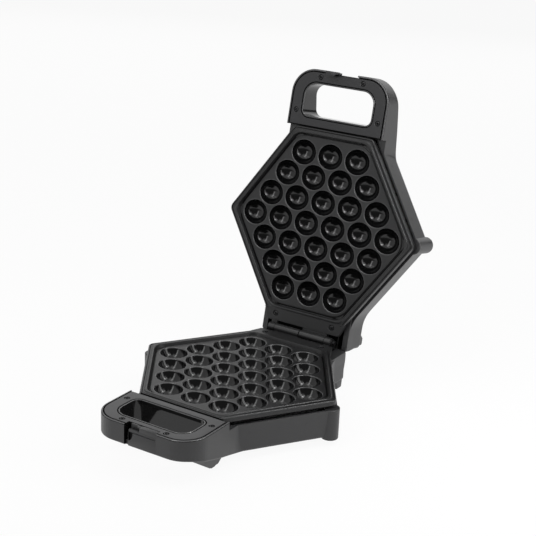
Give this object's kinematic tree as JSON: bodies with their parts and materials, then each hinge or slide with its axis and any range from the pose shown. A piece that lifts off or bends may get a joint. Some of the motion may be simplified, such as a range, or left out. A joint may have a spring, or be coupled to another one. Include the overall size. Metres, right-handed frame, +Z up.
{
  "type": "bubble waffle maker",
  "caption": "Hinged bubble waffle maker: two six-sided shells with cast plates of round cells, D-handles, sliding latch, back legs that stop the open lid.",
  "frame": {"origin": "middle of the open maker's box, on the plane of the feet", "axes": "+Z up; +X towards the latch's open side, along the hinge; +Y from the handle to the hinge"},
  "size_m": [0.2302, 0.361, 0.3213],
  "materials": {
    "shell_plastic": "satin moulded plastic",
    "cover_plastic": "satin moulded plastic",
    "coating": "satin non-stick coating on cast aluminium",
    "steel": "plain steel",
    "dark_steel": "blackened steel",
    "pan_metal": "pressed sheet",
    "rubber": "matt",
    "ceramic": "matt",
    "red_lens": "clear glossy lens",
    "green_lens": "clear glossy lens"
  },
  "bodies": {
    "base": {"base_shell": "shell_plastic", "base_handle_cover": "cover_plastic", "base_plate": "coating", "base_heater": "steel", "base_reflector": "pan_metal", "base_reflector_screw": "steel", "base_cover_screw_1": "dark_steel", "base_cover_screw_2": "dark_steel", "base_cover_screw_3": "dark_steel", "base_cover_screw_4": "dark_steel", "base_plate_screw_1": "dark_steel", "base_plate_screw_2": "dark_steel", "thermostat": "steel", "terminal_block": "ceramic", "cord_gland": "rubber", "hinge_tube": "dark_steel", "hinge_ring": "dark_steel", "foot_pad_1": "rubber", "foot_pad_2": "rubber", "foot_pad_3": "rubber", "foot_pad_4": "rubber"},
    "lid": {"lid_shell": "shell_plastic", "lid_handle_cover": "cover_plastic", "lid_plate": "coating", "lid_heater": "steel", "lid_reflector": "pan_metal", "lid_reflector_screw": "steel", "lid_cover_screw_1": "dark_steel", "lid_cover_screw_2": "dark_steel", "lid_cover_screw_3": "dark_steel", "lid_cover_screw_4": "dark_steel", "lid_plate_screw_1": "dark_steel", "lid_plate_screw_2": "dark_steel", "lid_catch": "cover_plastic", "thermal_fuse": "ceramic", "power_lamp": "red_lens", "ready_lamp": "green_lens"},
    "latch": {"latch_slider": "shell_plastic"}
  },
  "joints": [
    {"name": "lid_hinge", "type": "hinge", "parent": "base", "child": "lid", "pos_m": [0, 0.09662, 0.0496], "axis": [1, 0, 0], "range_deg": [0, 102]},
    {"name": "latch_slide", "type": "slide", "parent": "base", "child": "latch", "axis": [-1, 0, 0], "range_m": [0, 0.004]}
  ]
}
